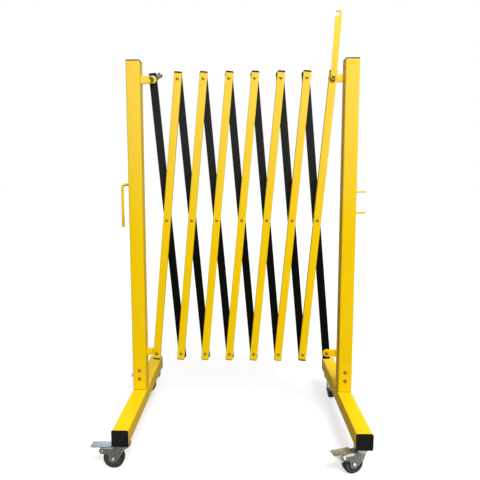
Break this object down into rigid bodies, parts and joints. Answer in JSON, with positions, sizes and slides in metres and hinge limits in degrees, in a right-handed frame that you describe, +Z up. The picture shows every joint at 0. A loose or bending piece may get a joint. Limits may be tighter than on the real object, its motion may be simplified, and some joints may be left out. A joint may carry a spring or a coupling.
{
  "type": "expandable safety barrier",
  "caption": "Folding scissor-lattice barrier between two posts on wheeled feet with braked swivel casters, a latch strap and a link hook and eyes.",
  "frame": {"origin": "on the floor, in the plane midway between the fronts and backs of the feet, and midway between the left pedals' tips and the link eyes", "axes": "+X to the right as seen from the front, +Y to the rear, +Z up"},
  "size_m": [0.7482, 0.5029, 1.2068],
  "materials": {
    "yellow_paint": "glossy safety yellow powder coat",
    "black_paint": "satin black powder coat",
    "black_plastic": "satin moulded plastic",
    "zinc": "bright zinc plate",
    "polished_steel": "polished steel",
    "wheel_rubber": "satin dark grey wheel with a rubber tread"
  },
  "bodies": {
    "left_frame": {"post_left": "yellow_paint", "post_cap_left": "black_plastic", "foot_left": "yellow_paint", "foot_plug_front_left": "black_plastic", "foot_plug_rear_left": "black_plastic", "post_bolt_upper_left": "polished_steel", "post_bolt_lower_left": "polished_steel", "caster_kingpin_front_left": "polished_steel", "caster_kingpin_rear_left": "polished_steel", "latch_stud": "polished_steel", "link_hook": "yellow_paint"},
    "right_frame": {"post_right": "yellow_paint", "post_cap_right": "black_plastic", "foot_right": "yellow_paint", "foot_plug_front_right": "black_plastic", "foot_plug_rear_right": "black_plastic", "post_bolt_upper_right": "polished_steel", "post_bolt_lower_right": "polished_steel", "caster_kingpin_front_right": "polished_steel", "caster_kingpin_rear_right": "polished_steel", "link_eye_upper": "yellow_paint", "link_eye_lower": "yellow_paint", "pivot_bolt_upper_right": "polished_steel"},
    "yellow_1": {"yellow_bar_1": "yellow_paint"},
    "black_1": {"black_bar_1": "black_paint"},
    "yellow_2": {"yellow_bar_2": "yellow_paint"},
    "black_2": {"black_bar_2": "black_paint"},
    "yellow_3": {"yellow_bar_3": "yellow_paint"},
    "black_3": {"black_bar_3": "black_paint"},
    "yellow_4": {"yellow_bar_4": "yellow_paint"},
    "black_4": {"black_bar_4": "black_paint"},
    "yellow_5": {"yellow_bar_5": "yellow_paint"},
    "black_5": {"black_bar_5": "black_paint"},
    "yellow_6": {"yellow_bar_6": "yellow_paint"},
    "black_6": {"black_bar_6": "black_paint"},
    "yellow_7": {"yellow_bar_7": "yellow_paint"},
    "black_7": {"black_bar_7": "black_paint"},
    "left_slider": {"lower_slider_left": "yellow_paint", "pivot_bolt_lower_left": "polished_steel"},
    "right_slider": {"lower_slider_right": "yellow_paint", "pivot_bolt_lower_right": "polished_steel"},
    "latch": {"latch_strap": "yellow_paint"},
    "lever": {"clamp_lever": "zinc"},
    "fork_front_left": {"caster_fork_front_left": "zinc", "caster_axle_front_left": "polished_steel"},
    "wheel_front_left": {"caster_wheel_front_left": "wheel_rubber"},
    "pedal_front_left": {"brake_pedal_front_left": "zinc"},
    "fork_front_right": {"caster_fork_front_right": "zinc", "caster_axle_front_right": "polished_steel"},
    "wheel_front_right": {"caster_wheel_front_right": "wheel_rubber"},
    "pedal_front_right": {"brake_pedal_front_right": "zinc"},
    "fork_rear_left": {"caster_fork_rear_left": "zinc", "caster_axle_rear_left": "polished_steel"},
    "wheel_rear_left": {"caster_wheel_rear_left": "wheel_rubber"},
    "pedal_rear_left": {"brake_pedal_rear_left": "zinc"},
    "fork_rear_right": {"caster_fork_rear_right": "zinc", "caster_axle_rear_right": "polished_steel"},
    "wheel_rear_right": {"caster_wheel_rear_right": "wheel_rubber"},
    "pedal_rear_right": {"brake_pedal_rear_right": "zinc"}
  },
  "joints": [
    {"name": "spread", "type": "hinge", "parent": "left_frame", "child": "black_1", "pos_m": [-0.2381, 0, 1.03], "axis": [0, -1, 0], "range_deg": [-3.48, 32.82]},
    {"name": "lower_pivot_1", "type": "hinge", "parent": "black_1", "child": "yellow_2", "pos_m": [-0.1655, 0, 0.22928], "axis": [0, -1, 0], "range_deg": [-65.64, 6.96]},
    {"name": "upper_pivot_2", "type": "hinge", "parent": "yellow_2", "child": "black_3", "pos_m": [-0.0929, 0, 1.03], "axis": [0, -1, 0], "range_deg": [-6.96, 65.64]},
    {"name": "lower_pivot_3", "type": "hinge", "parent": "black_3", "child": "yellow_4", "pos_m": [-0.0203, 0, 0.22928], "axis": [0, -1, 0], "range_deg": [-65.64, 6.96]},
    {"name": "upper_pivot_4", "type": "hinge", "parent": "yellow_4", "child": "black_5", "pos_m": [0.0523, 0, 1.03], "axis": [0, -1, 0], "range_deg": [-6.96, 65.64]},
    {"name": "lower_pivot_5", "type": "hinge", "parent": "black_5", "child": "yellow_6", "pos_m": [0.1249, 0, 0.22928], "axis": [0, -1, 0], "range_deg": [-65.64, 6.96]},
    {"name": "upper_pivot_6", "type": "hinge", "parent": "yellow_6", "child": "black_7", "pos_m": [0.1975, 0, 1.03], "axis": [0, -1, 0], "range_deg": [-6.96, 65.64]},
    {"name": "middle_pivot_1", "type": "hinge", "parent": "black_1", "child": "yellow_1", "pos_m": [-0.2018, 0, 0.62964], "axis": [0, -1, 0], "range_deg": [-65.64, 6.96]},
    {"name": "middle_pivot_2", "type": "hinge", "parent": "yellow_2", "child": "black_2", "pos_m": [-0.1292, 0, 0.62964], "axis": [0, -1, 0], "range_deg": [-6.96, 65.64]},
    {"name": "middle_pivot_3", "type": "hinge", "parent": "black_3", "child": "yellow_3", "pos_m": [-0.0566, 0, 0.62964], "axis": [0, -1, 0], "range_deg": [-65.64, 6.96]},
    {"name": "middle_pivot_4", "type": "hinge", "parent": "yellow_4", "child": "black_4", "pos_m": [0.016, 0, 0.62964], "axis": [0, -1, 0], "range_deg": [-6.96, 65.64]},
    {"name": "middle_pivot_5", "type": "hinge", "parent": "black_5", "child": "yellow_5", "pos_m": [0.0886, 0, 0.62964], "axis": [0, -1, 0], "range_deg": [-65.64, 6.96]},
    {"name": "middle_pivot_6", "type": "hinge", "parent": "yellow_6", "child": "black_6", "pos_m": [0.1612, 0, 0.62964], "axis": [0, -1, 0], "range_deg": [-6.96, 65.64]},
    {"name": "middle_pivot_7", "type": "hinge", "parent": "black_7", "child": "yellow_7", "pos_m": [0.2338, 0, 0.62964], "axis": [0, -1, 0], "range_deg": [-65.64, 6.96]},
    {"name": "right_frame_pivot", "type": "hinge", "parent": "yellow_7", "child": "right_frame", "pos_m": [0.2701, 0, 1.03], "axis": [0, -1, 0], "range_deg": [-3.48, 32.82]},
    {"name": "left_slider_pivot", "type": "hinge", "parent": "yellow_1", "child": "left_slider", "pos_m": [-0.2381, 0, 0.22928], "axis": [0, -1, 0], "range_deg": [-3.48, 32.82]},
    {"name": "right_slider_pivot", "type": "hinge", "parent": "black_7", "child": "right_slider", "pos_m": [0.2701, 0, 0.22928], "axis": [0, -1, 0], "range_deg": [-32.82, 3.48]},
    {"name": "latch_swing", "type": "hinge", "parent": "right_frame", "child": "latch", "pos_m": [0.2701, 0, 1.03], "axis": [0, 1, 0], "range_deg": [-92.91, 20]},
    {"name": "lever_turn", "type": "hinge", "parent": "left_frame", "child": "lever", "pos_m": [-0.2381, 0.02, 1.03], "axis": [0, 1, 0], "continuous": true},
    {"name": "swivel_front_left", "type": "hinge", "parent": "left_frame", "child": "fork_front_left", "pos_m": [-0.2911, -0.216, 0.062], "axis": [0, 0, 1], "continuous": true},
    {"name": "roll_front_left", "type": "hinge", "parent": "fork_front_left", "child": "wheel_front_left", "pos_m": [-0.3156, -0.216, 0.027], "axis": [0, 1, 0], "continuous": true},
    {"name": "brake_front_left", "type": "hinge", "parent": "fork_front_left", "child": "pedal_front_left", "pos_m": [-0.3441, -0.216, 0.048], "axis": [0, -1, 0], "range_deg": [0, 12]},
    {"name": "swivel_rear_left", "type": "hinge", "parent": "left_frame", "child": "fork_rear_left", "pos_m": [-0.2911, 0.216, 0.062], "axis": [0, 0, 1], "continuous": true},
    {"name": "roll_rear_left", "type": "hinge", "parent": "fork_rear_left", "child": "wheel_rear_left", "pos_m": [-0.3156, 0.216, 0.027], "axis": [0, 1, 0], "continuous": true},
    {"name": "brake_rear_left", "type": "hinge", "parent": "fork_rear_left", "child": "pedal_rear_left", "pos_m": [-0.3441, 0.216, 0.048], "axis": [0, -1, 0], "range_deg": [0, 12]},
    {"name": "swivel_front_right", "type": "hinge", "parent": "right_frame", "child": "fork_front_right", "pos_m": [0.3231, -0.216, 0.062], "axis": [0, 0, 1], "continuous": true},
    {"name": "roll_front_right", "type": "hinge", "parent": "fork_front_right", "child": "wheel_front_right", "pos_m": [0.29967, -0.22316, 0.027], "axis": [-0.2924, 0.9563, 0], "continuous": true},
    {"name": "brake_front_right", "type": "hinge", "parent": "fork_front_right", "child": "pedal_front_right", "pos_m": [0.27242, -0.2315, 0.048], "axis": [0.2924, -0.9563, 0], "range_deg": [0, 12]},
    {"name": "swivel_rear_right", "type": "hinge", "parent": "right_frame", "child": "fork_rear_right", "pos_m": [0.3231, 0.216, 0.062], "axis": [0, 0, 1], "continuous": true},
    {"name": "roll_rear_right", "type": "hinge", "parent": "fork_rear_right", "child": "wheel_rear_right", "pos_m": [0.3231, 0.1915, 0.027], "axis": [-1, 0, 0], "continuous": true},
    {"name": "brake_rear_right", "type": "hinge", "parent": "fork_rear_right", "child": "pedal_rear_right", "pos_m": [0.3231, 0.163, 0.048], "axis": [1, 0, 0], "range_deg": [0, 12]}
  ],
  "couplings": [
    {"joint": "lower_pivot_1", "follows": "spread", "ratio": -2},
    {"joint": "upper_pivot_2", "follows": "spread", "ratio": 2},
    {"joint": "lower_pivot_3", "follows": "spread", "ratio": -2},
    {"joint": "upper_pivot_4", "follows": "spread", "ratio": 2},
    {"joint": "lower_pivot_5", "follows": "spread", "ratio": -2},
    {"joint": "upper_pivot_6", "follows": "spread", "ratio": 2},
    {"joint": "middle_pivot_1", "follows": "spread", "ratio": -2},
    {"joint": "middle_pivot_2", "follows": "spread", "ratio": 2},
    {"joint": "middle_pivot_3", "follows": "spread", "ratio": -2},
    {"joint": "middle_pivot_4", "follows": "spread", "ratio": 2},
    {"joint": "middle_pivot_5", "follows": "spread", "ratio": -2},
    {"joint": "middle_pivot_6", "follows": "spread", "ratio": 2},
    {"joint": "middle_pivot_7", "follows": "spread", "ratio": -2},
    {"joint": "right_frame_pivot", "follows": "spread", "ratio": 1},
    {"joint": "left_slider_pivot", "follows": "spread", "ratio": 1},
    {"joint": "right_slider_pivot", "follows": "spread", "ratio": -1}
  ]
}
